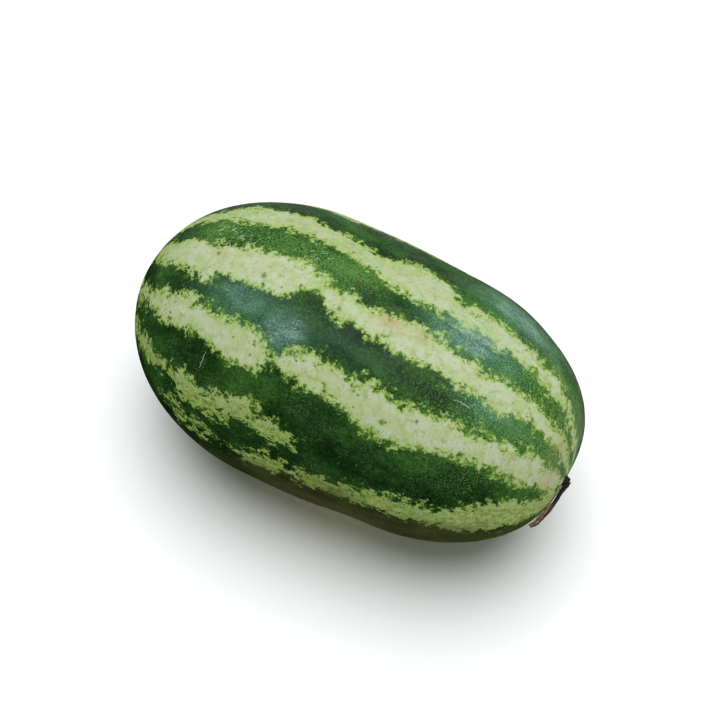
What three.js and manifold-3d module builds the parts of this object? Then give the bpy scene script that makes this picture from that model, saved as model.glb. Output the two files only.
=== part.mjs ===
// An oblong striped watermelon lying on its side, with its dried stem.
//
// Millimetres, +Z up. The fruit's long axis runs along X, from the blossom end at -X to the stem
// end at +X. The origin is on the ground, under the middle of the fruit's length, on the small
// flat spot that the fruit rests on. Longitude round the axis is 0 at the top and grows towards -Y.
import * as THREE from "three";
import { mergeVertices } from "three/addons/utils/BufferGeometryUtils.js";
import Module from "manifold-3d";

const wasm = await Module();
wasm.setup();

// ---- Driving dimensions ----
const LENGTH = 400; // blossom end to stem end
const GIRTH_RADIUS = 118; // at the widest station
const WIDEST_X = -53; // the fruit is fullest a little towards the blossom end
const REST_DEPTH = 1.5; // how far the underside is pressed flat by the fruit's weight
const AXIS_HEIGHT = GIRTH_RADIUS - REST_DEPTH; // the long axis above the ground

// Each half of the profile is r = radius * (1 - u^power)^root, with u from 0 at the widest
// station to 1 at the tip. The blossom half is an ellipse, and the stem half is fuller and blunter.
const BLOSSOM_HALF = { power: 2.0, root: 0.5 };
const STEM_HALF = { power: 3.3, root: 0.43 };
const PROFILE_STEPS = 19; // in each half
const SIDES = 64; // round the girth

// ---- Fruit ----

function radiusAt(x) {
  const half = x < WIDEST_X ? BLOSSOM_HALF : STEM_HALF;
  const reach = x < WIDEST_X ? LENGTH / 2 + WIDEST_X : LENGTH / 2 - WIDEST_X;
  const u = Math.min(1, Math.abs(x - WIDEST_X) / reach);
  return GIRTH_RADIUS * Math.pow(1 - Math.pow(u, half.power), half.root);
}

// Stations along the axis, closer together towards both tips, where the profile turns.
function stations() {
  const found = [];
  for (let i = -PROFILE_STEPS; i <= PROFILE_STEPS; i++) {
    const u = Math.sin((Math.PI / 2) * (i / PROFILE_STEPS));
    const reach = i < 0 ? LENGTH / 2 + WIDEST_X : LENGTH / 2 - WIDEST_X;
    found.push(WIDEST_X + u * reach);
  }
  return found;
}

// The profile is turned about Y, as a lathe does, and then laid down along X.
function fruitGeometry() {
  const profile = stations().map((x) => new THREE.Vector2(radiusAt(x), x));
  profile[0].x = 0;
  profile[profile.length - 1].x = 0;
  const turned = new THREE.LatheGeometry(profile, SIDES);
  turned.rotateZ(-Math.PI / 2);
  turned.translate(0, 0, AXIS_HEIGHT);
  return turned;
}

function toSolid(geometry) {
  const bare = geometry.clone();
  bare.deleteAttribute("normal");
  bare.deleteAttribute("uv");
  const merged = mergeVertices(bare, 1e-3);
  return new wasm.Manifold(
    new wasm.Mesh({
      numProp: 3,
      vertProperties: merged.attributes.position.array,
      triVerts: new Uint32Array(merged.index.array),
    }),
  );
}

function toGeometry(solid) {
  const mesh = solid.getMesh();
  const geometry = new THREE.BufferGeometry();
  geometry.setAttribute("position", new THREE.BufferAttribute(mesh.vertProperties, 3));
  geometry.setIndex(new THREE.BufferAttribute(mesh.triVerts, 1));
  geometry.computeVertexNormals();
  return geometry;
}

// The ground takes a thin slice off the underside, which leaves the flat spot at z = 0.
function restedFruit() {
  const ground = new THREE.BoxGeometry(2 * LENGTH, 2 * LENGTH, LENGTH);
  ground.translate(0, 0, -LENGTH / 2);
  return toGeometry(toSolid(fruitGeometry()).subtract(toSolid(ground)));
}

// ---- Stem ----
// The dried fruit stalk. Its knob stands on the stem end, a little below the axis and towards -Y.
// A thin strand leaves the knob sideways and runs back down along the end of the fruit, clear of
// the rind all the way, and thickens towards its dry end.
const STEM_FOOT = { y: -7.5, z: -5 }; // from the axis
const STEM_GAP = 0.35; // between the knob's face and the rind
const STEM_SIDES = 12;
const STEM_STEPS = 30;

// The knob's outline: the distance out from its face and the half thickness there.
const KNOB_PROFILE = [
  [0, 3.9],
  [0.9, 4.2],
  [2.1, 3.8],
  [3.0, 2.7],
  [3.4, 1.3],
  [3.5, 0],
];
const KNOB_SIDES = 24;

// Where the strand's centre runs, from the tip of the fruit and from its axis.
const STEM_ROUTE = [
  [2.5, STEM_FOOT.y, STEM_FOOT.z],
  [2.4, -10.4, -6.2],
  [1.8, -13.3, -7.2],
  [1.1, -16.0, -8.3],
  [0.2, -19.6, -9.9],
  [-0.4, -23.0, -11.8],
  [-1.2, -27.4, -13.6],
  [-1.9, -30.8, -15.0],
  [-2.9, -34.2, -17.2],
  [-4.2, -37.7, -20.1],
  [-5.5, -40.6, -22.8],
  [-7.0, -43.8, -24.9],
  [-9.0, -46.4, -26.2],
  [-10.5, -48.0, -27.1],
];

// Half thickness along the strand: thick out of the knob, a thin neck and a fuller lower part.
const STEM_THICKNESS = [
  [0, 2.1],
  [0.07, 1.9],
  [0.14, 1.5],
  [0.25, 1.15],
  [0.36, 1.15],
  [0.46, 1.6],
  [0.54, 2.0],
  [0.65, 2.15],
  [0.8, 2.2],
  [0.93, 2.0],
  [1, 1.6],
];

function thicknessAt(t) {
  const next = STEM_THICKNESS.findIndex(([station]) => station >= t);
  if (next <= 0) return STEM_THICKNESS[0][1];
  const [t0, r0] = STEM_THICKNESS[next - 1];
  const [t1, r1] = STEM_THICKNESS[next];
  return r0 + ((r1 - r0) * (t - t0)) / (t1 - t0);
}

// A closed tube along a curve, whose half thickness changes on the way.
function taperedTube(curve, halfThickness, steps, sides) {
  const frames = curve.computeFrenetFrames(steps);
  const positions = [];
  const faces = [];
  for (let i = 0; i <= steps; i++) {
    const centre = curve.getPointAt(i / steps);
    for (let j = 0; j < sides; j++) {
      const angle = (2 * Math.PI * j) / sides;
      const point = centre.clone();
      point.addScaledVector(frames.normals[i], halfThickness(i / steps) * Math.cos(angle));
      point.addScaledVector(frames.binormals[i], halfThickness(i / steps) * Math.sin(angle));
      positions.push(...point.toArray());
    }
  }
  for (let i = 0; i < steps; i++) {
    for (let j = 0; j < sides; j++) {
      const a = i * sides + j;
      const b = i * sides + ((j + 1) % sides);
      faces.push(a, b, b + sides, a, b + sides, a + sides);
    }
  }
  const last = steps * sides;
  for (let j = 1; j < sides - 1; j++) {
    faces.push(0, j + 1, j);
    faces.push(last, last + j, last + j + 1);
  }
  const geometry = new THREE.BufferGeometry();
  geometry.setAttribute("position", new THREE.Float32BufferAttribute(positions, 3));
  geometry.setIndex(faces);
  geometry.computeVertexNormals();
  return geometry;
}

function knobGeometry() {
  const profile = KNOB_PROFILE.map(([out, half]) => new THREE.Vector2(half, out));
  const turned = new THREE.LatheGeometry([new THREE.Vector2(0, 0), ...profile], KNOB_SIDES);
  turned.rotateZ(-Math.PI / 2);
  turned.translate(LENGTH / 2 + STEM_GAP, STEM_FOOT.y, AXIS_HEIGHT + STEM_FOOT.z);
  return turned;
}

function strandGeometry() {
  const points = STEM_ROUTE.map(
    ([x, y, z]) => new THREE.Vector3(LENGTH / 2 + x, y, AXIS_HEIGHT + z),
  );
  const curve = new THREE.CatmullRomCurve3(points, false, "centripetal");
  return taperedTube(curve, thicknessAt, STEM_STEPS, STEM_SIDES);
}

function stemGeometry() {
  return toGeometry(toSolid(knobGeometry()).add(toSolid(strandGeometry())));
}

// ---- Assembly ----

function piece(name, geometry, material) {
  const mesh = new THREE.Mesh(geometry, material);
  mesh.name = name;
  return mesh;
}

const rind = new THREE.MeshStandardMaterial({ color: 0x3f6b35, roughness: 0.45, metalness: 0 });
const driedStalk = new THREE.MeshStandardMaterial({ color: 0x3a2a20, roughness: 0.85, metalness: 0 });

const watermelon = new THREE.Group();
watermelon.add(piece("fruit", restedFruit(), rind));
watermelon.add(piece("stem", stemGeometry(), driedStalk));

export default watermelon;
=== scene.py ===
import math

import bpy
import numpy as np
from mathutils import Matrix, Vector, noise
from mathutils.bvhtree import BVHTree


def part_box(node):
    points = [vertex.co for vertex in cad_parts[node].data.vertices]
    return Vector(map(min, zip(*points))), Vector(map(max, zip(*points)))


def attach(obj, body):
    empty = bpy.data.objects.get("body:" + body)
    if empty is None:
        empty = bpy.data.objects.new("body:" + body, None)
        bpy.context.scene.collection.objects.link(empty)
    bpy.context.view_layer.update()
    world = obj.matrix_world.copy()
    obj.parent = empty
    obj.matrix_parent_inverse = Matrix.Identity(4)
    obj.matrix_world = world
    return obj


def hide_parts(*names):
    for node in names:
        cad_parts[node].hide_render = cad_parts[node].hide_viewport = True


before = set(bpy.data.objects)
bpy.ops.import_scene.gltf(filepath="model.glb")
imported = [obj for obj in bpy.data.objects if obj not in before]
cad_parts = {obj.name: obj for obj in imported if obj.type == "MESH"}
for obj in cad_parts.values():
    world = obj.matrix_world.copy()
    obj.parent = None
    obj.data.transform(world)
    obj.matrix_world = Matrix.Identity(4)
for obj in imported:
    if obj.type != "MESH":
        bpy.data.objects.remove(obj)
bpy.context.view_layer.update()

MM = 0.001

# ---- The rind's shape ----
# One grown fruit: a hard waxy rind round watery flesh, oblong and a little fuller towards the
# blossom end. It swelled from the flower, so its skin is smooth, with only slight hollows, a
# dimple at the stem, a small scar where the flower dropped off, and a flat spot that it lies on.
fruit_low, fruit_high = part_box("fruit")
LENGTH = fruit_high.x - fruit_low.x
GIRTH_RADIUS = (fruit_high.y - fruit_low.y) / 2
AXIS_HEIGHT = fruit_high.z - GIRTH_RADIUS
WIDEST_X = fruit_low.x + 0.3675 * LENGTH
BLOSSOM_HALF = (2.0, 0.50)  # power and root of the profile, on the ellipse-like half
STEM_HALF = (3.3, 0.43)  # the same, on the fuller and blunter half
STEM_FOOT = (-7.5 * MM, -5.0 * MM)  # across and up from the axis, where the stalk is grown on
PATCH_CELLS = 128  # cells along each side of the six patches that cover the fruit
MAP_MARGIN = 0.015  # how much of a patch's place on the map is left free at each side
TURN_STEPS = 20001  # steps along the profile, to measure the way over the skin
SKIN_STEPS = 4001  # even steps over the skin

HOLLOWS = (0.55 * MM, 75 * MM)  # height and spacing of the broad unevenness
DIMPLES = (0.07 * MM, 9 * MM)  # height and spacing of the fine unevenness
STEM_DIMPLE = (1.5 * MM, 12 * MM)  # depth and radius
STEM_CREASES = (0.45 * MM, 19 * MM, 9)  # depth, reach and number of the folds round the stalk
BLOSSOM_DIMPLE = (1.0 * MM, 9 * MM)
WAIST = (2.6 * MM, 52 * MM, 33 * MM)  # depth, station and reach of the slight waist
WAIST_SIDES = (0.76, 0.26)  # the share of that depth all round, and what the -Y side has more
WAIST_FADE = (165, 35)  # degrees from the top where the waist ends, and over which it fades
FLAT_FLANK = (0.9 * MM, (143 * MM, -63), (20 * MM, 36))  # depth, middle and reach: station, degrees
SHOULDER = (1.9 * MM, (194 * MM, -80), 34 * MM)  # height, middle and reach of the fuller shoulder
NEAR_GROUND = 6 * MM  # below this height the skin may touch the ground
FLAT_ROUNDING = 0.4 * MM  # how softly the side turns into the flat spot


def profile_radius(x):
    """The fruit's radius at each station along its length."""
    x = np.asarray(x, float)
    share = np.where(
        x < WIDEST_X,
        (WIDEST_X - x) / (WIDEST_X - fruit_low.x),
        (x - WIDEST_X) / (fruit_high.x - WIDEST_X),
    ).clip(0, 1)
    blossom = (1 - share ** BLOSSOM_HALF[0]) ** BLOSSOM_HALF[1]
    stem = (1 - share ** STEM_HALF[0]) ** STEM_HALF[1]
    return GIRTH_RADIUS * np.where(x < WIDEST_X, blossom, stem)


def evenly_along_the_skin(count):
    """Stations and radii from the stem tip to the blossom tip, at equal steps over the skin."""
    turn = np.linspace(0, np.pi, TURN_STEPS)
    middle = np.where(turn < np.pi / 2, fruit_high.x - WIDEST_X, WIDEST_X - fruit_low.x)
    stations = WIDEST_X + middle * np.cos(turn)
    radii = profile_radius(stations)
    steps = np.hypot(np.diff(stations), np.diff(radii))
    walked = np.concatenate([[0], np.cumsum(steps)])
    wanted = np.linspace(0, walked[-1], count)
    return np.interp(wanted, walked, stations), np.interp(wanted, walked, radii)


def six_patches(cells):
    """Directions, quads and map coordinates of a ball covered by six square patches."""
    steps = np.linspace(-1, 1, cells + 1)
    across, along = np.meshgrid(np.tan(steps * np.pi / 4), np.tan(steps * np.pi / 4), indexing="ij")
    map_u, map_v = np.meshgrid((steps + 1) / 2, (steps + 1) / 2, indexing="ij")
    directions, quads, places = [], [], []
    corner = np.arange(cells * (cells + 1)).reshape(cells, cells + 1)[:, :-1].ravel()
    quad = np.stack([corner, corner + cells + 1, corner + cells + 2, corner + 1], axis=1)
    for side in range(6):
        axis, sign = side // 2, 1 - 2 * (side % 2)
        outward = np.roll([sign, 0, 0], axis).astype(float)
        first = np.roll([0, 1, 0], axis).astype(float)
        second = np.cross(outward, first)
        ways = outward + across[..., None] * first + along[..., None] * second
        ways = ways / np.linalg.norm(ways, axis=-1, keepdims=True)
        quads.append(quad + len(directions) * (cells + 1) ** 2)
        directions.append(ways.reshape(-1, 3))
        place_u = (side % 3 + MAP_MARGIN + (1 - 2 * MAP_MARGIN) * map_u) / 3
        place_v = (side // 3 + MAP_MARGIN + (1 - 2 * MAP_MARGIN) * map_v) / 2
        places.append(np.stack([place_u, place_v], axis=-1).reshape(-1, 2))
    return np.concatenate(directions), np.concatenate(quads), np.concatenate(places)


def unevenness(points, height, spacing, seed):
    """Smooth random height at each point, from about -height to height."""
    shift = Vector((seed * 7.31, seed * 3.17, seed * 1.93))
    found = [noise.noise(Vector(p) / spacing + shift) for p in points]
    return height * 1.6 * np.array(found)


def from_stem_foot(points):
    """Distance and angle round the stalk's foot, looking at the stem end."""
    away_y = points[:, 1] - STEM_FOOT[0]
    away_z = points[:, 2] - AXIS_HEIGHT - STEM_FOOT[1]
    return np.hypot(away_y, away_z), np.arctan2(away_z, away_y)


def new_piece(name, points, faces):
    """A smooth mesh from plain lists, and its object in the scene."""
    mesh = bpy.data.meshes.new(name)
    mesh.from_pydata(points, [], faces)
    mesh.polygons.foreach_set("use_smooth", np.ones(len(faces), bool))
    piece = bpy.data.objects.new(name, mesh)
    bpy.context.scene.collection.objects.link(piece)
    return piece, mesh


ways, rind_quads, rind_map = six_patches(PATCH_CELLS)
_, first_use, same_point = np.unique(
    ways.round(6), axis=0, return_index=True, return_inverse=True
)
ball = ways[first_use]
rind_faces = same_point.ravel()[rind_quads]

turn_from_stem = np.arccos(ball[:, 0].clip(-1, 1)) / np.pi
even_x, even_radius = evenly_along_the_skin(SKIN_STEPS)
even_share = np.linspace(0, 1, len(even_x))
rind_x = np.interp(turn_from_stem, even_share, even_x)
rind_radius = np.interp(turn_from_stem, even_share, even_radius)
round_y, round_z = ball[:, 1], ball[:, 2]
round_length = np.maximum(np.hypot(round_y, round_z), 1e-9)
plain_rind = np.stack(
    [
        rind_x,
        rind_radius * round_y / round_length,
        AXIS_HEIGHT + rind_radius * round_z / round_length,
    ],
    axis=1,
)

lean = np.gradient(even_radius, even_x)[1:-1]
lean = np.interp(turn_from_stem, even_share[1:-1], lean)
outward = np.stack([-lean, round_y / round_length, round_z / round_length], axis=1)
outward /= np.linalg.norm(outward, axis=1, keepdims=True)

rise = unevenness(plain_rind, *HOLLOWS, seed=1) + unevenness(plain_rind, *DIMPLES, seed=2)

# The dimple round the stalk's foot, with unevenly spread folds that run into it.
at_stem_end = (rind_x > 0).astype(float)
foot_distance, foot_angle = from_stem_foot(plain_rind)
rise -= at_stem_end * STEM_DIMPLE[0] * np.exp(-((foot_distance / STEM_DIMPLE[1]) ** 2))
crease_depth, crease_reach, crease_count = STEM_CREASES
crease_turn = crease_count * foot_angle / 2 + 1.1 * np.sin(2 * foot_angle + 0.6)
crease = 1 - np.abs(np.sin(crease_turn)) ** 0.6
CREASE_START = 0.3  # share of their reach where the folds have their full depth
crease_away = foot_distance / crease_reach
crease_fade = np.exp(-(crease_away ** 2)) * crease_away.clip(0, CREASE_START)
rise -= at_stem_end * crease_depth * crease * crease_fade / CREASE_START

# The waist goes round the fruit, but not over the flat spot. Degrees are from the top towards -Y.
around = np.degrees(np.arctan2(-plain_rind[:, 1], plain_rind[:, 2] - AXIS_HEIGHT))
waist_depth, waist_station, waist_reach = WAIST
clear_of_ground = ((WAIST_FADE[0] - np.abs(around)) / WAIST_FADE[1]).clip(0, 1)
waist_share = clear_of_ground * (WAIST_SIDES[0] + WAIST_SIDES[1] * np.sin(np.radians(around)))
rise -= waist_share * waist_depth * np.exp(-(((rind_x - waist_station) / waist_reach) ** 2))

# On the far side it is a little flatter after the waist, and then fuller at the shoulder.
flank_depth, flank_middle, flank_reach = FLAT_FLANK
flank_away = np.hypot(
    (rind_x - flank_middle[0]) / flank_reach[0],
    (around - flank_middle[1]) / flank_reach[1],
)
rise -= flank_depth * np.exp(-flank_away ** 2)
shoulder_height, (shoulder_station, shoulder_place), shoulder_reach = SHOULDER
shoulder_turn = math.radians(shoulder_place)
shoulder_radius = float(profile_radius(shoulder_station))
shoulder_middle = [
    shoulder_station,
    -shoulder_radius * math.sin(shoulder_turn),
    AXIS_HEIGHT + shoulder_radius * math.cos(shoulder_turn),
]
shoulder_away = np.linalg.norm(plain_rind - shoulder_middle, axis=1)
rise += shoulder_height * np.exp(-((shoulder_away / shoulder_reach) ** 2))

# The dimple at the blossom end.
tip_distance = np.hypot(plain_rind[:, 1], plain_rind[:, 2] - AXIS_HEIGHT)
at_blossom_end = 1 - at_stem_end
rise -= at_blossom_end * BLOSSOM_DIMPLE[0] * np.exp(-((tip_distance / BLOSSOM_DIMPLE[1]) ** 2))

# The flat spot: nothing hangs below the ground, and the side turns softly into it.
rind_points = plain_rind + outward * rise[:, None]
height = rind_points[:, 2]
rounded = 0.5 * (height + np.sqrt(height ** 2 + FLAT_ROUNDING ** 2))
rind_points[:, 2] = np.where(height < NEAR_GROUND, rounded, height)
rind_points[:, 2] -= min(rind_points[:, 2].min(), FLAT_ROUNDING)

rind, rind_mesh = new_piece("rind", rind_points.tolist(), rind_faces.tolist())
rind_uv = rind_mesh.uv_layers.new(name="OFBake")
rind_uv.data.foreach_set("uv", rind_map[rind_quads.ravel()].astype(np.float32).ravel())

# ---- Where the stripes run ----
# The pale stripes follow the seams of the flower's ovary from tip to tip, about a thirteenth of
# the girth apart. Each row gives a station along the fruit in millimetres, then the stripe's two
# edges in degrees round the axis, from 0 on top and growing towards -Y.
PALE_STRIPES = [
    [
        (-205, -62, -52), (-105, -62, -51), (-60, -61, -48), (30, -60, -50), (60, -63, -55),
        (90, -68, -60), (125, -74, -65), (205, -78, -66),
    ],
    [
        (-205, -22, -16), (-150, -28, -15), (-110, -32, -16), (-50, -29, -17), (-25, -27, -17),
        (0, -24, -14), (25, -31, -11), (55, -29, -10), (75, -21, -10), (100, -24, -10),
        (150, -25, -13), (175, -25, -13), (205, -26, -16),
    ],
    [
        (-205, -6, 10), (-150, -2, 17), (-115, -1, 18), (-75, -3, 13), (-48, -4, 11),
        (-36, -3, 6), (-22, -2, 5), (-12, -1, 13), (2, 0, 13), (12, 2, 10), (40, 0, 12),
        (75, 0, 14), (105, 2, 15), (150, -1, 12), (178, -3, 11), (205, -4, 8),
    ],
    [
        (-205, 34, 50), (-150, 30, 43), (-100, 27, 40), (-62, 28, 44), (-46, 30, 43),
        (-38, 32, 41), (-33, 34, 39), (-27, 31, 39), (-8, 28, 42), (15, 28, 39), (50, 29, 46),
        (78, 30, 47), (100, 28, 43), (138, 27, 40), (160, 24, 43), (205, 25, 47),
    ],
    [
        (-205, 64, 78), (-150, 57, 72), (-128, 60, 67), (-115, 61, 64), (-100, 59, 73),
        (-70, 58, 71), (-40, 56, 66), (-12, 58, 70), (6, 65, 66),
    ],
    [
        (-50, 83, 86), (-38, 79, 88), (-20, 77, 88), (0, 77, 86), (50, 76, 85), (80, 72, 85),
        (125, 69, 84), (150, 61, 87), (175, 55, 90), (205, 54, 94),
    ],
]
PALE_PATCH = [(-128, 80, 82), (-106, 75, 90), (-80, 74, 90), (-58, 82, 84)]  # mottled, half pale
PATCH_LIMITS = (-9 * MM, 2.5 * MM)  # how far out and how deep the patch counts
PATCH_LOSS = 1.5 * MM  # how much less deep it is than a stripe

# The rest of the girth, where the same stripes carry on round the back and the underside.
HIDDEN_STRIPE_CENTRES = [119, 143, 168, 195, 223, 251, 279]
STRIPE_HALF_WIDTH = 7.0
THINNEST_HALF_WIDTH = 1.5
SWAY_RATES = (1.3, 2.9, 6.1)
SWELL_RATES = (2.1, 4.7, 9.0)
LEAST_REACH = 0.45 * GIRTH_RADIUS  # near the tips a stripe keeps this radius, so it stays wide
stripe_random = np.random.default_rng(12)


def grown_stripe(centre):
    """A stripe's rows from tip to tip, with its middle and its width wandering as it grew."""
    stations = np.arange(-205, 206, 20.5)
    turns = stations / 100
    sway = sum(
        stripe_random.uniform(0.4, 1.5) * np.sin(rate * turns + stripe_random.uniform(0, 6.3))
        for rate in SWAY_RATES
    )
    swell = sum(
        stripe_random.uniform(0.5, 1.7) * np.sin(rate * turns + stripe_random.uniform(0, 6.3))
        for rate in SWELL_RATES
    )
    half = np.maximum(STRIPE_HALF_WIDTH + swell, THINNEST_HALF_WIDTH)
    return list(zip(stations, centre + sway - half, centre + sway + half))


def inside_stripe(stations, longitude, rows):
    """How deep each point lies inside a stripe, in metres over the skin. Outside it is below 0."""
    x, upper, lower = np.array(rows, float).T
    x = x * MM
    middle = np.interp(stations, x, (upper + lower) / 2)
    half = np.interp(stations, x, (lower - upper) / 2)
    away = np.abs((longitude - middle + 180) % 360 - 180)
    reach = np.maximum(profile_radius(stations), LEAST_REACH)
    depth = np.radians(half - away) * reach
    return np.minimum(depth, np.minimum(stations - x[0], x[-1] - stations))


# The stripes run to the stalk's foot, which stands a little off the axis.
bend = (rind_x / (LENGTH / 2)).clip(0, 1) ** 3
longitude = np.degrees(
    np.arctan2(
        -(plain_rind[:, 1] - bend * STEM_FOOT[0]),
        plain_rind[:, 2] - AXIS_HEIGHT - bend * STEM_FOOT[1],
    )
)
stripes = PALE_STRIPES + [grown_stripe(centre) for centre in HIDDEN_STRIPE_CENTRES]
paleness = np.max([inside_stripe(rind_x, longitude, rows) for rows in stripes], axis=0)
half_pale = inside_stripe(rind_x, longitude, PALE_PATCH).clip(*PATCH_LIMITS)
paleness = np.maximum(paleness, half_pale - PATCH_LOSS)


def soft_patch(station, place, along_reach, round_reach):
    """1 at a station and a longitude, fading out over its reach along and round the fruit."""
    along = (rind_x - station * MM) / (along_reach * MM)
    across = (longitude - place) / round_reach
    return np.exp(-(along ** 2) - across ** 2)


def along_fruit(from_station, to_station):
    """A share that grows from 0 at one station to 1 at the other, and is held beyond them."""
    return ((rind_x - from_station * MM) / ((to_station - from_station) * MM)).clip(0, 1)


# The underside lay on the ground and grew yellowish there. Round it runs a dark olive band. It is
# partly skin that turned olive and partly painted shade and painted reflection of brown ground, low on
# the near side.
GROUND_SPOT = (10, 125, 62)  # station, reach along, and reach round in degrees
OLIVE_PAINTED_SHADE_BAND = (80, 195, 80, 27)  # station, reach along, degrees from the lowest line, reach round
FAR_OLIVE_PAINTED_SHADE_LOSS = 0.35  # it is fainter on the far side
from_below = np.abs(longitude % 360 - 180)
spot_station, spot_length, spot_width = GROUND_SPOT
ground_spot = 1 - np.hypot((rind_x - spot_station * MM) / (spot_length * MM), from_below / spot_width)
olive_station, olive_length, olive_place, olive_width = OLIVE_PAINTED_SHADE_BAND
olive_painted_shade_side = 1 - np.hypot(
    (rind_x - olive_station * MM) / (olive_length * MM),
    (from_below - olive_place) / olive_width,
)
olive_painted_shade_side -= FAR_OLIVE_PAINTED_SHADE_LOSS * (longitude < 0)

# The stripes are mottled and yellower on the lower flanks and towards the blossom end.
FLANKS = (50, 14)  # degrees from the top where the flanks begin, and over which they do
from_top = np.abs((longitude - 2 + 180) % 360 - 180)
on_flanks = ((from_top - FLANKS[0]) / FLANKS[1]).clip(0, 1)
mottled = np.max(
    [
        on_flanks * (1 - 0.2 * along_fruit(20, 120)),
        0.5 * soft_patch(-140, -25, 35, 12),
        0.45 * along_fruit(-145, -180),
        0.3 * soft_patch(-30, -22, 90, 9),
    ],
    axis=0,
)

# The dark stripes are lighter and more netted on the upper side towards the stem end, and along the
# ridge of the blossom half. They are deeper near the middle, and darker low on the near side as painted
# shade.
RIDGE_PLACE = (-9, 9)  # longitude of the ridge and its reach round
towards_stem = along_fruit(0, 190) ** 1.5
upper_side = ((60 - from_top) / 34).clip(0, 1)
ridge_skin = along_fruit(40, -20) * along_fruit(-185, -125)
ridge_skin = ridge_skin * np.exp(-(((longitude - RIDGE_PLACE[0]) / RIDGE_PLACE[1]) ** 2))
deeper_and_shaded_skin = 0.3 * soft_patch(30, 20, 55, 9) + 0.7 * soft_patch(-60, 100, 95, 13)
light_skin = towards_stem * upper_side + 0.95 * ridge_skin - deeper_and_shaded_skin

# The wax is whole on top. It is rubbed and dusty on the flanks and at the blossom end.
WAX_EDGE = (-18, 72, 25)  # longitude of its middle, how far round it goes, and over which it fades
waxed = ((WAX_EDGE[1] - np.abs(longitude - WAX_EDGE[0])) / WAX_EDGE[2]).clip(0, 1)
waxed = waxed * along_fruit(-178, -138)

# Corky skin: a ring round the stalk and the scar of the flower.
STEM_CORK_RADIUS = 13 * MM
BLOSSOM_CORK_RADIUS = 9 * MM
stem_cork = at_stem_end * (1 - foot_distance / STEM_CORK_RADIUS).clip(0, 1)
blossom_cork = at_blossom_end * (1 - tip_distance / BLOSSOM_CORK_RADIUS).clip(0, 1)

# Rubbed places that healed tan. Each is a station, a longitude, a reach along and round, and how
# strong it is.
TAN_PLACES = [
    (190, 5, 9, 14, 0.9), (191, 37, 9, 18, 0.8), (46, 4, 36, 5, 1.1), (-105, 4, 75, 8, 0.45),
]
# Painted sheen and wax bloom: a faint bluish haze in patches. Most of them lie on the upper side, where
# they paint the soft reflection of the light from above. The last two, on the hidden sides, are wax
# bloom.
BLOOM_AND_SHEEN_PLACES = [
    (-36, 24, 34, 13, 1.0), (-78, 20, 66, 13, 0.7), (8, 20, 80, 11, 0.3), (98, -8, 66, 16, 0.95),
    (118, -38, 65, 18, 0.85), (135, 17, 50, 12, 0.6), (-120, -130, 60, 24, 0.4), (60, 240, 70, 26, 0.4),
]


def patches(places):
    """How deep each point lies in the nearest patch: station, longitude, reach along and round."""
    found = np.zeros(len(rind_points))
    for station, place, along_reach, round_reach, strength in places:
        away = np.hypot(
            (rind_x - station * MM) / (along_reach * MM),
            ((longitude - place + 180) % 360 - 180) / round_reach,
        )
        found = np.maximum(found, strength * (1 - away))
    return found


for name, values in {
    "paleness": paleness,
    "ground_spot": ground_spot,
    "olive_painted_shade_side": olive_painted_shade_side,
    "cork": np.maximum(stem_cork, blossom_cork),
    "tan_skin": patches(TAN_PLACES),
    "bloom_and_sheen": patches(BLOOM_AND_SHEEN_PLACES),
    "mottled": mottled,
    "light_skin": light_skin,
    "waxed": waxed,
}.items():
    layer = rind_mesh.attributes.new(name, "FLOAT", "POINT")
    layer.data.foreach_set("value", values.astype(np.float32))

# ---- The rind's skin ----
# Waxy living skin: dark green where it holds most green matter, pale grey-green in the stripes.
# The margins are crumbled, with a yellow-green fringe, and the dark skin is finely netted.


def paint(red, green, blue):
    """A colour given in the usual 0 to 255 steps, as a shader takes it."""
    steps = [value / 255 for value in (red, green, blue)]
    linear = [s / 12.92 if s <= 0.04045 else ((s + 0.055) / 1.055) ** 2.4 for s in steps]
    return (*linear, 1.0)


def give(tree, socket, value):
    """Sets a socket to a number or a colour, or links another socket into it."""
    if isinstance(value, bpy.types.NodeSocket):
        tree.links.new(value, socket)
    else:
        socket.default_value = value


def attribute(tree, name):
    node = tree.nodes.new("ShaderNodeAttribute")
    node.attribute_name = name
    return node.outputs["Fac"]


def calc(tree, operation, *values, clamp=False):
    """One sum on numbers or sockets."""
    node = tree.nodes.new("ShaderNodeMath")
    node.operation = operation
    node.use_clamp = clamp
    for socket, value in zip(node.inputs, values):
        give(tree, socket, value)
    return node.outputs[0]


def times(tree, first, second):
    return calc(tree, "MULTIPLY", first, second)


def plus(tree, first, second):
    return calc(tree, "ADD", first, second)


def rescale(tree, value, low, high, to_low=0.0, to_high=1.0, smooth=True):
    """value's way from low to high, as a way from to_low to to_high, held at both ends."""
    node = tree.nodes.new("ShaderNodeMapRange")
    node.interpolation_type = "SMOOTHSTEP" if smooth else "LINEAR"
    for socket, given in zip(node.inputs, (value, low, high, to_low, to_high)):
        give(tree, socket, given)
    return node.outputs["Result"]


def either_way(tree, value, low, high, reach):
    """value's way from low to high, as a straight way from -reach to reach."""
    return rescale(tree, value, low, high, -reach, reach, smooth=False)


def mix(tree, share, first, second):
    """From the first colour to the second, as the share goes from 0 to 1."""
    node = tree.nodes.new("ShaderNodeMix")
    node.data_type = "RGBA"
    give(tree, node.inputs["Factor"], share)
    give(tree, node.inputs[6], first)
    give(tree, node.inputs[7], second)
    return node.outputs[2]


def cloud(tree, where, size, detail=3.0, roughness=0.55, distortion=0.0):
    """Random cloudy values round 0.5, in blots of about that size in metres."""
    node = tree.nodes.new("ShaderNodeTexNoise")
    give(tree, node.inputs["Vector"], where)
    node.inputs["Scale"].default_value = 1 / size
    node.inputs["Detail"].default_value = detail
    node.inputs["Roughness"].default_value = roughness
    node.inputs["Distortion"].default_value = distortion
    return node.outputs[0]


def cells(tree, where, size, feature="F1"):
    """A pattern of random cells of about that size in metres. Returns the node."""
    node = tree.nodes.new("ShaderNodeTexVoronoi")
    node.feature = feature
    give(tree, node.inputs["Vector"], where)
    node.inputs["Scale"].default_value = 1 / size
    return node


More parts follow.
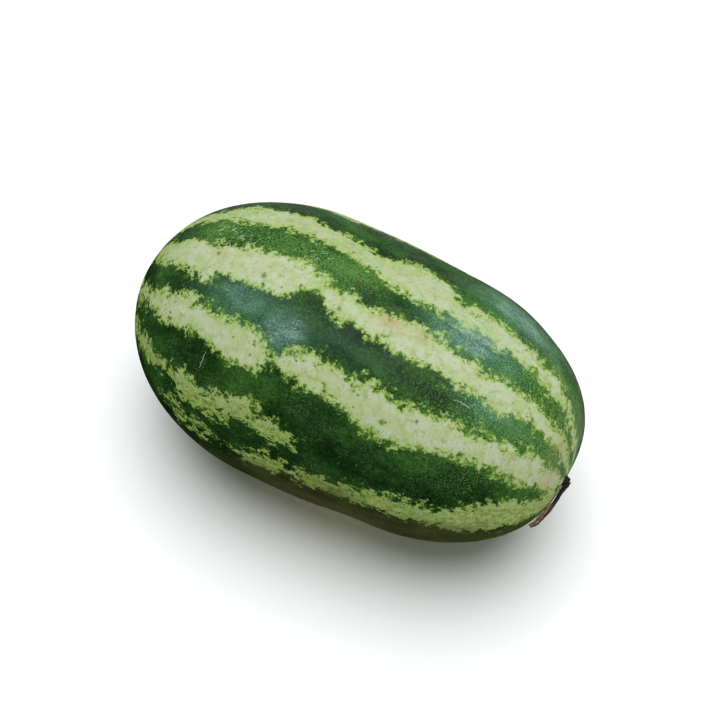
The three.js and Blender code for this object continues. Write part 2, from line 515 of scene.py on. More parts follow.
def ramp(tree, value, stops):
    """A run of colours, each at its share from 0 to 1."""
    node = tree.nodes.new("ShaderNodeValToRGB")
    give(tree, node.inputs["Fac"], value)
    band = node.color_ramp
    while len(band.elements) < len(stops):
        band.elements.new(1.0)
    for element, (place, colour) in zip(band.elements, stops):
        element.position = place
        element.color = colour
    return node.outputs["Color"]


def stretched(tree, where, factors):
    node = tree.nodes.new("ShaderNodeMapping")
    node.vector_type = "POINT"
    give(tree, node.inputs["Vector"], where)
    node.inputs["Scale"].default_value = factors
    return node.outputs["Vector"]


def new_group(name, inputs, outputs):
    """An empty shader group with plain number or vector inputs and number outputs."""
    tree = bpy.data.node_groups.new(name, "ShaderNodeTree")
    for label, kind in inputs.items():
        tree.interface.new_socket(label, in_out="INPUT", socket_type=kind)
    for label in outputs:
        tree.interface.new_socket(label, in_out="OUTPUT", socket_type="NodeSocketFloat")
    return tree, tree.nodes.new("NodeGroupInput").outputs, tree.nodes.new("NodeGroupOutput").inputs


def use_group(tree, group, **values):
    node = tree.nodes.new("ShaderNodeGroup")
    node.node_tree = group
    for label, value in values.items():
        give(tree, node.inputs[label], value)
    return node.outputs


def new_material(name):
    """A material with its Principled shader. Returns the material, its nodes and that shader."""
    material = bpy.data.materials.new(name)
    material.use_nodes = True
    tree = material.node_tree
    tree.nodes.clear()
    shader = tree.nodes.new("ShaderNodeBsdfPrincipled")
    output = tree.nodes.new("ShaderNodeOutputMaterial")
    tree.links.new(shader.outputs["BSDF"], output.inputs["Surface"])
    return material, tree, shader


# Small scattered spots, one in each cell that is picked, with a soft edge. Skin and stalk share it.
spots_group, given, made = new_group(
    "scattered_spots",
    {
        "Place": "NodeSocketVector",
        "Cells": "NodeSocketFloat",
        "Radius": "NodeSocketFloat",
        "Picked": "NodeSocketFloat",
    },
    ["Spots"],
)
spot_cells = spots_group.nodes.new("ShaderNodeTexVoronoi")
spots_group.links.new(given["Place"], spot_cells.inputs["Vector"])
spots_group.links.new(given["Cells"], spot_cells.inputs["Scale"])
own_values = spots_group.nodes.new("ShaderNodeSeparateColor")
spots_group.links.new(spot_cells.outputs["Color"], own_values.inputs["Color"])
picked = calc(spots_group, "LESS_THAN", own_values.outputs[0], given["Picked"])
size_share = rescale(spots_group, own_values.outputs[1], 0, 1, 0.45, 1)
own_radius = times(spots_group, given["Radius"], size_share)
inner_radius = times(spots_group, own_radius, 0.45)
spot = rescale(spots_group, spot_cells.outputs["Distance"], own_radius, inner_radius)
give(spots_group, made["Spots"], times(spots_group, spot, picked))

rind_surface = BVHTree.FromPolygons([Vector(p) for p in rind_points], rind_faces.tolist())


def on_the_rind(station, place, sunk=0.0):
    """The point of the skin at a station in millimetres and a longitude in degrees."""
    angle = math.radians(place)
    radius = float(profile_radius(station * MM))
    height = AXIS_HEIGHT + radius * math.cos(angle)
    start = Vector((station * MM, -radius * math.sin(angle), height))
    point, normal, _, _ = rind_surface.find_nearest(start)
    return point - normal * sunk


DEEP_GREEN = paint(16, 35, 13)
DARK_GREEN = paint(30, 60, 24)
LEAF_GREEN = paint(52, 92, 38)
LIGHT_LEAF = paint(90, 122, 56)
VEIN_GREEN = paint(96, 138, 74)
MARGIN_GREEN = paint(76, 114, 38)
YELLOW_GREEN = paint(138, 164, 80)
FRINGE_GREEN = paint(163, 182, 112)
PALE_GREEN = paint(174, 188, 138)
GREY_GREEN = paint(184, 193, 162)
MOTTLE_GREEN = paint(148, 168, 100)
FLANK_PALE = paint(182, 193, 142)
LOW_PALE_GREEN = paint(158, 176, 98)
LIME_GREEN = paint(132, 160, 54)
GROUND_YELLOW = paint(196, 186, 124)
# A dark olive-brown: partly the skin's own colour and partly painted shade low on the near side.
OLIVE_PAINTED_SHADE = paint(76, 71, 43)
TAN = paint(176, 161, 116)
CORK = paint(128, 106, 76)
# Colours of the bluish haze that paints the sheen of the light from above, together with the wax bloom.
THIN_BLOOM_AND_SHEEN = paint(112, 168, 142)
BLOOM_AND_SHEEN_BLUE = paint(166, 197, 196)
NICK_BROWN = paint(84, 62, 46)
WAX_ROUGHNESS = 0.38
WAX_IOR = 1.35
SINGLE_MARKS = [  # station, longitude, radius in millimetres, colour
    (-116, 5, 2.2, MARGIN_GREEN), (-70, 8, 3.0, MARGIN_GREEN), (-3, 8, 2.6, MARGIN_GREEN),
    (64, 41, 3.2, MARGIN_GREEN), (35, 34, 1.8, MARGIN_GREEN), (39, 35, 1.5, MARGIN_GREEN),
    (88, 35, 2.0, MARGIN_GREEN), (-2, -5, 2.4, NICK_BROWN), (175, -23, 2.6, NICK_BROWN),
]

rind_skin, tree, skin_shader = new_material("waxy_striped_rind")
object_place = tree.nodes.new("ShaderNodeTexCoord").outputs["Object"]
along_skin = stretched(tree, object_place, (0.55, 1, 1))

# The margins: broad tongues, then lobes, then crumbs and single dots.
tongues = cloud(tree, along_skin, 20 * MM, detail=2.0, roughness=0.5, distortion=0.4)
lobes = cloud(tree, object_place, 8 * MM, detail=5.0, roughness=0.68)
crumbs = cloud(tree, object_place, 3.0 * MM, detail=4.0, roughness=0.75)
tongue_length = either_way(tree, tongues, 0.25, 0.75, 5 * MM)
lobe_length = either_way(tree, lobes, 0.25, 0.75, 7 * MM)
margin = plus(tree, attribute(tree, "paleness"), tongue_length)
margin = plus(tree, margin, lobe_length)
mottled = attribute(tree, "mottled")
speckle = cloud(tree, along_skin, 5 * MM, detail=4.0, roughness=0.72)
speckle = rescale(tree, speckle, 0.25, 0.75, -18 * MM, 10 * MM, smooth=False)
margin = plus(tree, margin, times(tree, speckle, mottled))
green = rescale(tree, margin, 7 * MM, -6.5 * MM, smooth=False)
unsettled = rescale(tree, green, 0.0, 0.3, 0.4, 1.0)
unsettled = times(tree, unsettled, rescale(tree, green, 1.0, 0.7, 0.3, 1.0))
WANDER = 3 * MM  # how far the crumbs' cells are pushed about, so that their edges aren't straight
wandering = tree.nodes.new("ShaderNodeVectorMath")
wandering.operation = "MULTIPLY_ADD"
warp = tree.nodes.new("ShaderNodeTexNoise")
give(tree, warp.inputs["Vector"], object_place)
warp.inputs["Scale"].default_value = 1 / WANDER
give(tree, wandering.inputs[0], warp.outputs["Color"])
wandering.inputs[1].default_value = (WANDER, WANDER, WANDER)
give(tree, wandering.inputs[2], object_place)
crumb_cells = cells(tree, wandering.outputs[0], 2.9 * MM)
crumb_values = tree.nodes.new("ShaderNodeSeparateColor")
give(tree, crumb_values.inputs["Color"], crumb_cells.outputs["Color"])
fine_grain = cloud(tree, object_place, 1.3 * MM, detail=2.0, roughness=0.6)
crumbling = either_way(tree, crumbs, 0.28, 0.72, 0.4)
crumbling = plus(tree, crumbling, either_way(tree, crumb_values.outputs[0], 0, 1, 0.2))
crumbling = plus(tree, crumbling, either_way(tree, fine_grain, 0.3, 0.7, 0.2))
crumbling = times(tree, crumbling, unsettled)
green = plus(tree, green, crumbling)

# The pale skin is greyish in blots, with yellower mottles, and yellower all over on the flanks.
pale_blots = cloud(tree, object_place, 13 * MM, detail=4.0, roughness=0.6)
pale_skin = mix(tree, rescale(tree, pale_blots, 0.42, 0.6), GREY_GREEN, PALE_GREEN)
pale_mottle = cloud(tree, object_place, 6 * MM, detail=4.0, roughness=0.68)
mottle_share = rescale(tree, pale_mottle, 0.48, 0.7, 0.0, 0.9)
pale_skin = mix(tree, mottle_share, pale_skin, MOTTLE_GREEN)
flank_mottle = cloud(tree, along_skin, 3.6 * MM, detail=4.0, roughness=0.75)
flank_skin = ramp(
    tree,
    flank_mottle,
    [(0.32, FLANK_PALE), (0.43, LOW_PALE_GREEN), (0.515, LIME_GREEN), (0.62, MARGIN_GREEN)],
)
pale_skin = mix(tree, mottled, pale_skin, flank_skin)

# The dark skin: deep in some places and leaf green in others, with a fine net of lighter veins.
dark_blots = cloud(tree, along_skin, 30 * MM, detail=5.0, roughness=0.62)
broad_way = rescale(tree, dark_blots, 0.32, 0.68, smooth=False)
fine_way = either_way(tree, crumbs, 0.3, 0.7, 0.3)
light_skin_share = attribute(tree, "light_skin")
dark_way = times(tree, plus(tree, broad_way, fine_way), 0.6)
dark_way = plus(tree, dark_way, times(tree, light_skin_share, 0.42))
dark_way = calc(tree, "SUBTRACT", dark_way, times(tree, mottled, 0.1))
dark_skin = ramp(
    tree,
    dark_way,
    [(0.03, DEEP_GREEN), (0.3, DARK_GREEN), (0.6, LEAF_GREEN), (0.95, LIGHT_LEAF)],
)
net = cells(tree, object_place, 2.2 * MM, feature="DISTANCE_TO_EDGE").outputs["Distance"]
veins = times(tree, rescale(tree, net, 0.2, 0.02), rescale(tree, fine_grain, 0.38, 0.62))
vein_patches = cloud(tree, object_place, 24 * MM, detail=3.0)
netting = plus(tree, rescale(tree, vein_patches, 0.35, 0.7, 0.0, 0.35), light_skin_share)
veins = calc(tree, "MULTIPLY", veins, netting, clamp=True)
dark_skin = mix(tree, veins, dark_skin, VEIN_GREEN)

# From pale to dark the skin goes through yellow-green and leaf green.
skin = mix(tree, rescale(tree, green, 0.0, 0.3), pale_skin, FRINGE_GREEN)
skin = mix(tree, rescale(tree, green, 0.25, 0.48), skin, YELLOW_GREEN)
skin = mix(tree, rescale(tree, green, 0.42, 0.62), skin, MARGIN_GREEN)
skin = mix(tree, rescale(tree, green, 0.56, 0.82), skin, dark_skin)
grain_depth = rescale(tree, green, 0.2, 0.8, 0.09, 0.3)
grain = either_way(tree, fine_grain, 0.3, 0.7, 1)
grain_shade = calc(tree, "MULTIPLY_ADD", grain, grain_depth, 1.0)
shaded = tree.nodes.new("ShaderNodeVectorMath")
shaded.operation = "SCALE"
give(tree, shaded.inputs[0], skin)
give(tree, shaded.inputs["Scale"], grain_shade)
skin = shaded.outputs[0]

# Green specks inside the pale stripes, larger ones few and small ones many.
SPECKS = [(9 * MM, 0.17, 0.5, 0.8), (4 * MM, 0.2, 0.4, 0.55)]  # cells, radius, share, strength
for cell_size, radius, picked_share, strength in SPECKS:
    spots = use_group(
        tree,
        spots_group,
        Place=object_place,
        Cells=1 / cell_size,
        Radius=radius,
        Picked=picked_share,
    )["Spots"]
    skin = mix(tree, times(tree, spots, strength), skin, MARGIN_GREEN)

# Where it lay on the ground, the skin is yellowish. Round that, the dark olive band is partly olive
# skin and partly painted shade.
olive_edge = calc(tree, "SUBTRACT", tongues, 0.5)
olive_painted_shade = rescale(tree, plus(tree, attribute(tree, "olive_painted_shade_side"), olive_edge), 0.0, 0.6)
olive_painted_shade = times(tree, olive_painted_shade, rescale(tree, dark_blots, 0.35, 0.65, 0.45, 0.72))
skin = mix(tree, olive_painted_shade, skin, OLIVE_PAINTED_SHADE)
ground_edge = either_way(tree, tongues, 0.2, 0.8, 0.22)
ground = rescale(tree, plus(tree, attribute(tree, "ground_spot"), ground_edge), 0.02, 0.5)
skin = mix(tree, times(tree, ground, 0.86), skin, GROUND_YELLOW)

# Tan rubs and corky skin.
rub_way = stretched(tree, object_place, (0.3, 1, 1))
rub_streaks = cloud(tree, rub_way, 4 * MM, detail=3.0, roughness=0.65)
rubs = rescale(tree, attribute(tree, "tan_skin"), 0.0, 0.7)
rubs = times(tree, rubs, rescale(tree, rub_streaks, 0.4, 0.58))
skin = mix(tree, times(tree, rubs, 0.6), skin, TAN)
cork_edge = either_way(tree, lobes, 0.25, 0.75, 0.3)
cork = rescale(tree, plus(tree, attribute(tree, "cork"), cork_edge), 0.35, 0.7)
skin = mix(tree, times(tree, cork, 0.85), skin, CORK)

# The bluish haze of painted sheen and wax bloom, wiped into streaks along the fruit.
streak_way = stretched(tree, object_place, (0.35, 1, 1))
streaks = cloud(tree, streak_way, 9 * MM, detail=6.0, roughness=0.72)
bloom_and_sheen_haze = rescale(tree, attribute(tree, "bloom_and_sheen"), 0.0, 1.0)
bloom_and_sheen_haze = times(tree, bloom_and_sheen_haze, rescale(tree, streaks, 0.3, 0.7, 0.5, 1.15))
bloom_and_sheen_haze = times(tree, bloom_and_sheen_haze, rescale(tree, green, 0.3, 0.7, 0.22, 0.55))
bloom_and_sheen_haze = times(tree, bloom_and_sheen_haze, rescale(tree, fine_grain, 0.35, 0.65, 0.7, 1.25))
bloom_and_sheen_colour = mix(tree, rescale(tree, bloom_and_sheen_haze, 0.15, 0.55), THIN_BLOOM_AND_SHEEN, BLOOM_AND_SHEEN_BLUE)
skin = mix(tree, bloom_and_sheen_haze, skin, bloom_and_sheen_colour)

# Single marks: green islands in the pale stripes, and two healed red-brown nicks.
mark_edge = either_way(tree, crumbs, 0.3, 0.7, 1.4 * MM)
for station, place, radius, colour in SINGLE_MARKS:
    offset = tree.nodes.new("ShaderNodeVectorMath")
    offset.operation = "DISTANCE"
    give(tree, offset.inputs[0], object_place)
    offset.inputs[1].default_value = on_the_rind(station, place)
    ragged = plus(tree, offset.outputs["Value"], mark_edge)
    mark = rescale(tree, ragged, radius * MM, 0.35 * radius * MM)
    skin = mix(tree, times(tree, mark, 0.8), skin, colour)
give(tree, skin_shader.inputs["Base Color"], skin)

# Wax: a thin soft shine over dull skin, worn off in places, and thinner on the pale stripes.
wear = cloud(tree, object_place, 30 * MM, detail=5.0, roughness=0.65)
# The wax coat is thicker where the painted sheen lies.
bloom_and_sheen_shine = times(tree, bloom_and_sheen_haze, 0.6)
wax = plus(tree, rescale(tree, wear, 0.3, 0.7, 0.3, 0.1), bloom_and_sheen_shine)
wax = times(tree, attribute(tree, "waxed"), wax)
wax = times(tree, wax, rescale(tree, green, 0.2, 0.7, 0.7, 1.0))
wax = times(tree, wax, rescale(tree, cork, 0, 1, 1.0, 0.1))
give(tree, skin_shader.inputs["Coat Weight"], wax)
skin_shader.inputs["Coat Roughness"].default_value = WAX_ROUGHNESS
skin_shader.inputs["Coat IOR"].default_value = WAX_IOR
cork_dullness = times(tree, cork, 0.25)
dullness = plus(tree, rescale(tree, wear, 0.3, 0.7, 0.55, 0.7), cork_dullness)
give(tree, skin_shader.inputs["Roughness"], dullness)
skin_shader.inputs["Specular IOR Level"].default_value = 0.0

# Fine relief: pores, low lumps, and rough cork.
pores = times(tree, cloud(tree, object_place, 1.6 * MM, detail=2.0), 0.06 * MM)
lumps = times(tree, lobes, 0.2 * MM)
rough_cork = times(tree, cork, times(tree, crumbs, 0.9 * MM))
relief = plus(tree, plus(tree, pores, lumps), rough_cork)
skin_bump = tree.nodes.new("ShaderNodeBump")
skin_bump.inputs["Strength"].default_value = 0.55
skin_bump.inputs["Distance"].default_value = 1.0
give(tree, skin_bump.inputs["Height"], relief)
give(tree, skin_shader.inputs["Normal"], skin_bump.outputs["Normal"])

rind_mesh.materials.append(rind_skin)
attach(rind, "root")
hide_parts("fruit")

# ---- Healed scratches ----
# Thin raised threads of pale cork, where leaves and straw rubbed the young skin. They are part of
# the skin, and are made here as fine threads that lie half sunk in it.
SCRATCHES = [  # the way of each long one: station in millimetres, longitude in degrees
    [(-87.5, 44.5), (-88.3, 47), (-88.2, 49.5), (-89.2, 52.5)],
    [(105, 20.9), (110, 20.5), (115, 20.6), (120, 21.2)],
    [(-129, 33.6), (-124, 34.4), (-119, 35.6), (-116, 35.4)],
]
SCRIBBLES = [  # where the short curls lie and how many: station, longitude, count
    (-128, -9, 16), (-112, -5, 16), (-92, -6, 6), (-40, -9, 7), (-18, -14.5, 4), (72, 42, 3),
    (-30, 20, 3),
]
SCRIBBLE_SPREAD = [6, 2.2]  # how far the curls of one place are strewn: millimetres and degrees
SCRIBBLE_STEPS = 14
SCRATCH_STEPS = 26
SCRATCH_RADIUS = 0.24 * MM
SCRATCH_SUNK = 0.06 * MM
SCRIBBLE_SUNK = 0.05 * MM
THREAD_SIDES = 6
scratch_random = np.random.default_rng(5)


def thread(points, radius):
    """Rings of a closed thread through these points, pointed at both ends."""
    points = np.array([tuple(p) for p in points])
    count = len(points)
    along = np.gradient(points, axis=0)
    along /= np.linalg.norm(along, axis=1, keepdims=True)
    side = np.cross(along, points - [0, 0, AXIS_HEIGHT])
    side /= np.linalg.norm(side, axis=1, keepdims=True)
    up = np.cross(side, along)
    swell = radius * np.sin(np.linspace(0.12, np.pi - 0.12, count)) ** 0.6
    angles = np.linspace(0, 2 * np.pi, THREAD_SIDES, endpoint=False)
    return (
        points[:, None]
        + swell[:, None, None] * np.cos(angles)[None, :, None] * side[:, None]
        + swell[:, None, None] * np.sin(angles)[None, :, None] * up[:, None]
    )


def tube_faces(rings, sides, start):
    """Quads of a closed tube, with a cap at each end."""
    faces = []
    for ring in range(rings - 1):
        for turn in range(sides):
            here = start + ring * sides + turn
            beside = start + ring * sides + (turn + 1) % sides
            faces.append((here, here + sides, beside + sides, beside))
    faces.append(tuple(start + turn for turn in range(sides)))
    faces.append(tuple(start + (rings - 1) * sides + turn for turn in reversed(range(sides))))
    return faces


scratch_rings = []
for route in SCRATCHES:
    steps = np.linspace(0, len(route) - 1, SCRATCH_STEPS)
    stations = np.interp(steps, range(len(route)), [p[0] for p in route])
    places = np.interp(steps, range(len(route)), [p[1] for p in route])
    stations += 0.25 * np.sin(steps * 5.1)
    walk = [on_the_rind(s, p, SCRATCH_SUNK) for s, p in zip(stations, places)]
    scratch_rings.append(thread(walk, SCRATCH_RADIUS))
for station, place, count in SCRIBBLES:
    for _ in range(count):
        heading = scratch_random.uniform(-0.9, 0.9)
        curl = scratch_random.uniform(-0.16, 0.16)
        step = scratch_random.uniform(0.22, 0.5)
        here = np.array([station, place]) + scratch_random.normal(0, 1, 2) * SCRIBBLE_SPREAD
        walk = []
        for _ in range(SCRIBBLE_STEPS):
            walk.append(on_the_rind(here[0], here[1], SCRIBBLE_SUNK))
            here = here + step * np.array([math.cos(heading), 0.5 * math.sin(heading)])
            heading += curl + scratch_random.normal(0, 0.18)
        scratch_rings.append(thread(walk, scratch_random.uniform(0.12, 0.24) * MM))

scratch_points = []
scratch_faces = []
for rings in scratch_rings:
    scratch_faces += tube_faces(rings.shape[0], rings.shape[1], len(scratch_points))
    scratch_points += rings.reshape(-1, 3).tolist()
scratches, scratch_mesh = new_piece("healed_scratches", scratch_points, scratch_faces)

STRAW = paint(226, 232, 200)
OLD_CORK = paint(178, 186, 146)
scratch_cork, tree, cork_shader = new_material("pale_cork")
object_place = tree.nodes.new("ShaderNodeTexCoord").outputs["Object"]
mottle = cloud(tree, object_place, 2.5 * MM, detail=3.0, roughness=0.6)
cork_colour = mix(tree, rescale(tree, mottle, 0.35, 0.65), STRAW, OLD_CORK)
give(tree, cork_shader.inputs["Base Color"], cork_colour)
give(tree, cork_shader.inputs["Roughness"], rescale(tree, mottle, 0.3, 0.7, 0.6, 0.8))
scratch_mesh.materials.append(scratch_cork)
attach(scratches, "root")

# ---- The stem ----
# The dried fruit stalk: a woody, ribbed strand that was grown to the fruit at a knobbly foot,
# shrank to a thin neck as it dried, and curls back along the end of the fruit to a broken tip.
STEM_ROUTE = [  # millimetres out from the stem end, across and up from the axis
    (2.5, -7.5, -5.0), (2.4, -10.4, -6.2), (1.8, -13.3, -7.2), (1.1, -16.0, -8.3),
    (0.6, -19.6, -9.9), (0.2, -23.0, -11.8), (-0.6, -27.4, -13.6), (-1.5, -30.8, -15.0),
    (-2.7, -34.2, -17.2), (-4.1, -37.7, -20.1), (-5.5, -40.6, -22.8), (-7.0, -43.8, -24.9),
    (-9.0, -46.4, -26.2), (-10.5, -48.0, -27.1),
]
STEM_THICKNESS = [  # share of the way to the tip, and half the thickness there
    (0.0, 2.4), (0.06, 2.3), (0.12, 2.0), (0.2, 1.65), (0.4, 1.5), (0.48, 1.7), (0.56, 2.0),
    (0.65, 2.15), (0.8, 2.15), (0.93, 1.9), (1.0, 1.4),
]
STEM_RIBS = 7
STEM_SIDES = 56
STEM_STEPS = 170
KNOB_RINGS = 26
STEM_TWIST = 1.3  # how far the ribs wind round on the way, in radians
WRINKLES = (0.16, 2.2 * MM)  # height as a share of half the thickness, and spacing
FRAYED_RINGS = [(0.93, 0.25), (0.8, 0.42), (0.55, 0.35), (0.28, 0.2)]  # share of width, millimetres out


def smooth_route(points, count):
    """Evenly spaced points on a smooth curve through these points."""
    points = np.array(points, float)
    ends = np.vstack([2 * points[0] - points[1], points, 2 * points[-1] - points[-2]])
    curve = []
    for before, start, end, after in zip(ends, ends[1:], ends[2:], ends[3:]):
        for t in np.linspace(0, 1, 40, endpoint=False):
            straight = 2 * start + (end - before) * t
            bent = (2 * before - 5 * start + 4 * end - after) * t ** 2
            swung = (3 * start - before - 3 * end + after) * t ** 3
            curve.append(0.5 * (straight + bent + swung))
    curve = np.array(curve + [points[-1]])
    walked = np.concatenate([[0], np.cumsum(np.linalg.norm(np.diff(curve, axis=0), axis=1))])
    wanted = np.linspace(0, walked[-1], count)
    return np.stack([np.interp(wanted, walked, values) for values in curve.T], axis=1)


stem_line = smooth_route(STEM_ROUTE, STEM_STEPS) * MM + [fruit_high.x, 0, AXIS_HEIGHT]
stem_along = np.gradient(stem_line, axis=0)
stem_along /= np.linalg.norm(stem_along, axis=1, keepdims=True)
side = np.cross(stem_along[0], [0, 0, 1])
stem_share = np.linspace(0, 1, STEM_STEPS)
stem_half = np.interp(stem_share, *np.array(STEM_THICKNESS).T) * MM
for _ in range(3):
    stem_half[1:-1] = (stem_half[:-2] + 2 * stem_half[1:-1] + stem_half[2:]) / 4
stem_angles = np.linspace(0, 2 * np.pi, STEM_SIDES, endpoint=False)
stem_points = []
for centre, along, half, share in zip(stem_line, stem_along, stem_half, stem_share):
    side = side - along * np.dot(side, along)
    side /= np.linalg.norm(side)
    up = np.cross(along, side)
    twist = STEM_TWIST * share
    for angle in stem_angles:
        rib = 0.11 * np.cos(STEM_RIBS * (angle + twist)) + 0.05 * np.cos(3 * angle + 9 * share)
        way = side * np.cos(angle) + up * np.sin(angle)
        wrinkle = WRINKLES[0] * noise.noise(Vector((centre + way * half) / WRINKLES[1]))
        stem_points.append(centre + way * half * (1 + rib + wrinkle))
stem_points = np.array(stem_points)

# The broken tip: the last rings draw in to a ragged, fibrous face.
stem_rings = stem_points.reshape(STEM_STEPS, STEM_SIDES, 3)
tip_centre, tip_along = stem_line[-1], stem_along[-1]
tip_rings = []
for shrink, push in FRAYED_RINGS:
    ring = tip_centre + (stem_rings[-1] - tip_centre) * shrink
    fray = np.array([noise.noise(Vector(p / (0.9 * MM))) for p in ring])
    tip_rings.append(ring + tip_along * (push + 0.7 * fray[:, None]) * MM)
stem_rings = np.concatenate([stem_rings, tip_rings])
stem_faces = tube_faces(len(stem_rings), STEM_SIDES, 0)
stem_points = stem_rings.reshape(-1, 3)
ring_share = np.repeat(np.concatenate([stem_share, np.ones(len(tip_rings))]), STEM_SIDES)

# The knob: a low, furrowed cushion that grips the skin with its spread rim.
KNOB_PROFILE = [  # millimetres out from the stem end, and half the width there
    (-1.6, 5.0), (-0.5, 4.5), (0.3, 4.0), (1.0, 3.6), (1.8, 3.3), (2.5, 2.8), (3.1, 2.1),
    (3.4, 1.2), (3.5, 0.5),
]
knob_out, knob_half = smooth_route(KNOB_PROFILE, KNOB_RINGS).T
knob_centre = np.array([fruit_high.x, STEM_FOOT[0], AXIS_HEIGHT + STEM_FOOT[1]])
knob_rings = []
for out, half in zip(knob_out * MM, knob_half * MM):
    ring = []
    for angle in stem_angles:
        way = np.array([0, math.cos(angle), math.sin(angle)])
        furrow = 0.07 * math.cos(5 * angle + 0.7) + 0.05 * math.cos(8 * angle + 2.1)
        place = knob_centre + [out, 0, 0] + way * half
        lump = 0.24 * noise.noise(Vector(place / (2.6 * MM)))
        ring.append(knob_centre + [out * (1 + lump), 0, 0] + way * half * (1 + furrow + lump))
    knob_rings.append(ring)
knob_points = np.array(knob_rings).reshape(-1, 3)
stem_faces += tube_faces(len(knob_rings), STEM_SIDES, len(stem_points))
stem_points = np.concatenate([stem_points, knob_points])
ring_share = np.concatenate([ring_share, np.zeros(len(knob_points))])
stem, stem_mesh = new_piece("dried_stem", stem_points.tolist(), stem_faces)

# How far each ring is along the stalk, for the bark.
layer = stem_mesh.attributes.new("along", "FLOAT", "POINT")
layer.data.foreach_set("value", ring_share.astype(np.float32))

BARK = paint(30, 19, 14)
RED_BARK = paint(82, 50, 34)
# Pale bare wood, which also stands for painted light on the stalk's upper side.
BARE_AND_LIT_WOOD = paint(202, 168, 138)
GREY_DUST = paint(118, 106, 86)
stalk_skin, tree, stalk_shader = new_material("dried_stalk")
object_place = tree.nodes.new("ShaderNodeTexCoord").outputs["Object"]
bark_mottle = cloud(tree, object_place, 3 * MM, detail=4.0, roughness=0.65)
fibre_way = stretched(tree, object_place, (1.0, 0.35, 0.5))
fibres = cloud(tree, fibre_way, 0.8 * MM, detail=3.0, roughness=0.6)
bark = mix(tree, rescale(tree, bark_mottle, 0.35, 0.65), BARK, RED_BARK)
along_stalk = attribute(tree, "along")
bark = mix(tree, rescale(tree, along_stalk, 0.55, 0.3), bark, BARK)

# On the side that faces up and inwards the outer bark has flaked off the paler wood, and that pale side
# also paints the light that falls on the stalk from above.
FLAKED_AND_LIT_SIDE = (-0.78, 0.0, 0.62)
surface = tree.nodes.new("ShaderNodeNewGeometry")
facing = tree.nodes.new("ShaderNodeVectorMath")
facing.operation = "DOT_PRODUCT"
give(tree, facing.inputs[0], surface.outputs["Normal"])
facing.inputs[1].default_value = FLAKED_AND_LIT_SIDE
flake_and_light_edge = either_way(tree, bark_mottle, 0.25, 0.75, 0.5)
bare_and_lit = rescale(tree, plus(tree, facing.outputs["Value"], flake_and_light_edge), 0.25, 0.7)
bare_and_lit = times(tree, bare_and_lit, rescale(tree, along_stalk, 0.4, 0.62))
bare_and_lit = times(tree, bare_and_lit, rescale(tree, fibres, 0.3, 0.6, 0.5, 1.0))
bark = mix(tree, bare_and_lit, bark, BARE_AND_LIT_WOOD)

# Small spots of grey dust.
dust = use_group(
    tree,
    spots_group,
    Place=object_place,
    Cells=1 / (1.4 * MM),
    Radius=0.3,
    Picked=0.2,
)["Spots"]
bark = mix(tree, times(tree, dust, 0.5), bark, GREY_DUST)
give(tree, stalk_shader.inputs["Base Color"], bark)
give(tree, stalk_shader.inputs["Roughness"], rescale(tree, bark_mottle, 0.3, 0.7, 0.6, 0.85))
stalk_shader.inputs["Specular IOR Level"].default_value = 0.35
stalk_bump = tree.nodes.new("ShaderNodeBump")
stalk_bump.inputs["Strength"].default_value = 0.7
stalk_bump.inputs["Distance"].default_value = 1.0
give(tree, stalk_bump.inputs["Height"], times(tree, fibres, 0.5 * MM))
give(tree, stalk_shader.inputs["Normal"], stalk_bump.outputs["Normal"])
stem_mesh.materials.append(stalk_skin)
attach(stem, "root")
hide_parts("stem")

# ---- Floor, light and camera ----
# A plain pale floor under one wide soft light from above, with a weaker one from the stem's side.
# None of it is part of the fruit.
FLOOR_SIZE = 80.0
FLOOR_SHADES = [(0.93, 0.93, 0.93, 1), (0.95, 0.95, 0.95, 1)]
half = FLOOR_SIZE / 2
floor_corners = [(-half, -half, 0), (half, -half, 0), (half, half, 0), (-half, half, 0)]
floor, floor_mesh = new_piece("floor", floor_corners, [(0, 1, 2, 3)])
floor_paper, tree, paper_shader = new_material("pale_paper")
object_place = tree.nodes.new("ShaderNodeTexCoord").outputs["Object"]
tooth = cloud(tree, object_place, 4 * MM, detail=2.0)
give(tree, paper_shader.inputs["Base Color"], mix(tree, tooth, *FLOOR_SHADES))
paper_shader.inputs["Roughness"].default_value = 0.9
paper_shader.inputs["Specular IOR Level"].default_value = 0.1
floor_mesh.materials.append(floor_paper)


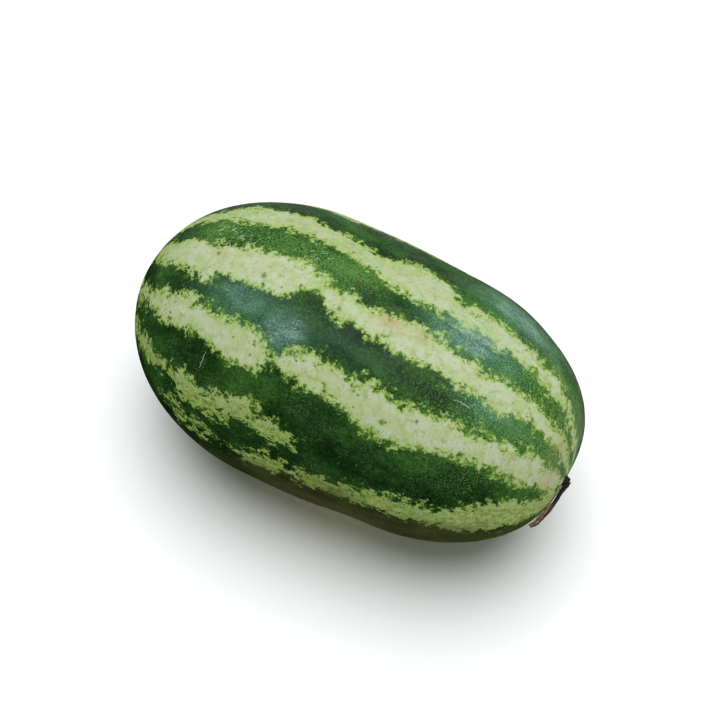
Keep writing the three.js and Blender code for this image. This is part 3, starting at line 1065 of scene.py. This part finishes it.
def towards(azimuth, elevation):
    """The way from the fruit to something seen at this azimuth and elevation, in degrees."""
    turn, lift = math.radians(azimuth), math.radians(elevation)
    level = math.cos(lift)
    return Vector((math.sin(turn) * level, -math.cos(turn) * level, math.sin(lift)))


LIGHTS = {  # strength, degrees across, azimuth, elevation, colour
    "soft_light": (3.42, 56, -160, 79, (0.97, 0.99, 1.0)),
    "fill_light": (0.55, 100, 62, 40, (1.0, 1.0, 1.0)),
}
for name, (strength, spread, azimuth, elevation, colour) in LIGHTS.items():
    light = bpy.data.objects.new(name, bpy.data.lights.new(name, "SUN"))
    light.data.energy = strength
    light.data.angle = math.radians(spread)
    light.data.color = colour
    light.rotation_mode = "QUATERNION"
    light.rotation_quaternion = towards(azimuth, elevation).to_track_quat("Z", "Y")
    bpy.context.scene.collection.objects.link(light)

# A dim room, with a white backdrop where the camera looks past the floor.
ROOM_GLOW = 0.02
BACKDROP_GLOW = 1.0
world = bpy.data.worlds.new("surroundings")
world.use_nodes = True
tree = world.node_tree
seen = tree.nodes.new("ShaderNodeLightPath").outputs["Is Camera Ray"]
backdrop = tree.nodes["Background"]
backdrop.inputs["Color"].default_value = (1.0, 1.0, 1.0, 1.0)
give(tree, backdrop.inputs["Strength"], rescale(tree, seen, 0, 1, ROOM_GLOW, BACKDROP_GLOW))
bpy.context.scene.world = world
bpy.context.scene.view_settings.view_transform = "Standard"

CAMERA_AZIMUTH = 27.94
CAMERA_ELEVATION = 60.0
CAMERA_DISTANCE = 1.105
CAMERA_LENS = 65
CAMERA_SHIFT = (0.0100, 0.0142)
camera = bpy.data.objects.new("camera", bpy.data.cameras.new("camera"))
camera.data.lens = CAMERA_LENS
camera.data.sensor_width = 36
camera.data.shift_x, camera.data.shift_y = CAMERA_SHIFT
back = towards(CAMERA_AZIMUTH, CAMERA_ELEVATION)
camera.location = Vector((0, 0, AXIS_HEIGHT)) + back * CAMERA_DISTANCE
camera.rotation_mode = "QUATERNION"
camera.rotation_quaternion = back.to_track_quat("Z", "Y")
bpy.context.scene.collection.objects.link(camera)
bpy.context.scene.camera = camera
